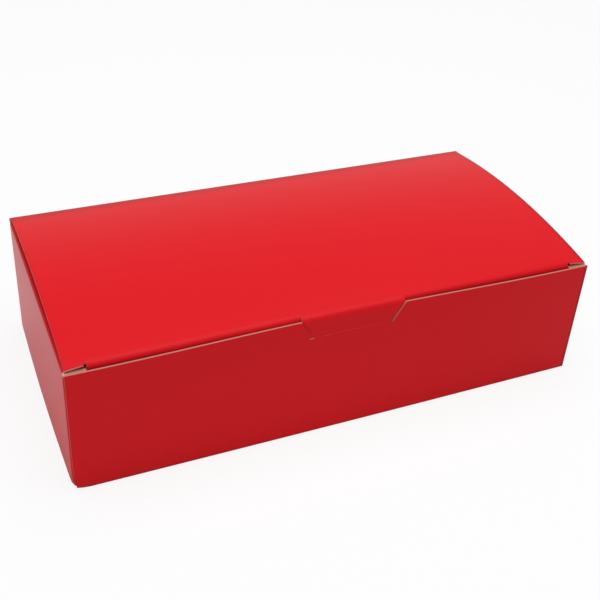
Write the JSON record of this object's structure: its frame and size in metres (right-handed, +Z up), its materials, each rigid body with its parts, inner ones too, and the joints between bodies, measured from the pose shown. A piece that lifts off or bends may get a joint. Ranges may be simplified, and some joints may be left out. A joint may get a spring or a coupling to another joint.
{
  "type": "folding candy box",
  "caption": "Closed folding carton for sweets in glossy red board, with an arched tuck-in lid, a thumb tab and dust flaps.",
  "frame": {"origin": "middle of the base, on the surface that the box stands on", "axes": "+X along the length, towards the right end; +Y from the front panel to the back panel; +Z up"},
  "size_m": [0.178, 0.089, 0.049],
  "materials": {
    "red_coated_board": "gloss clay-coated face over brown board, raw at the cut edges",
    "glued_board": "uncoated brown back of the same board"
  },
  "bodies": {
    "tray": {"bottom_panel": "red_coated_board", "front_panel": "red_coated_board", "back_panel": "red_coated_board", "left_end_panel": "red_coated_board", "right_end_panel": "red_coated_board", "front_left_glue_flap": "glued_board", "front_right_glue_flap": "glued_board", "back_left_glue_flap": "glued_board", "back_right_glue_flap": "glued_board"},
    "lid": {"lid_panel": "red_coated_board"},
    "tuck": {"tuck_flap": "red_coated_board"},
    "tab": {"thumb_tab": "red_coated_board"},
    "left_dust": {"left_dust_flap": "red_coated_board"},
    "right_dust": {"right_dust_flap": "red_coated_board"}
  },
  "joints": [
    {"name": "lid_crease", "type": "hinge", "parent": "tray", "child": "lid", "pos_m": [0, 0.0445, 0.045], "axis": [-1, 0, 0], "range_deg": [0, 180]},
    {"name": "tuck_crease", "type": "hinge", "parent": "lid", "child": "tuck", "pos_m": [0, -0.0414, 0.0444], "axis": [1, 0, 0], "range_deg": [0, 60]},
    {"name": "tab_bend", "type": "hinge", "parent": "lid", "child": "tab", "pos_m": [0, -0.0408, 0.04522], "axis": [-1, 0, 0], "range_deg": [0, 60]},
    {"name": "left_dust_crease", "type": "hinge", "parent": "tray", "child": "left_dust", "pos_m": [-0.089, 0, 0.0441], "axis": [0, -1, 0], "range_deg": [0, 90]},
    {"name": "right_dust_crease", "type": "hinge", "parent": "tray", "child": "right_dust", "pos_m": [0.089, 0, 0.0441], "axis": [0, 1, 0], "range_deg": [0, 90]}
  ],
  "couplings": [
    {"joint": "left_dust_crease", "follows": "lid_crease", "ratio": 0.5},
    {"joint": "right_dust_crease", "follows": "lid_crease", "ratio": 0.5}
  ]
}
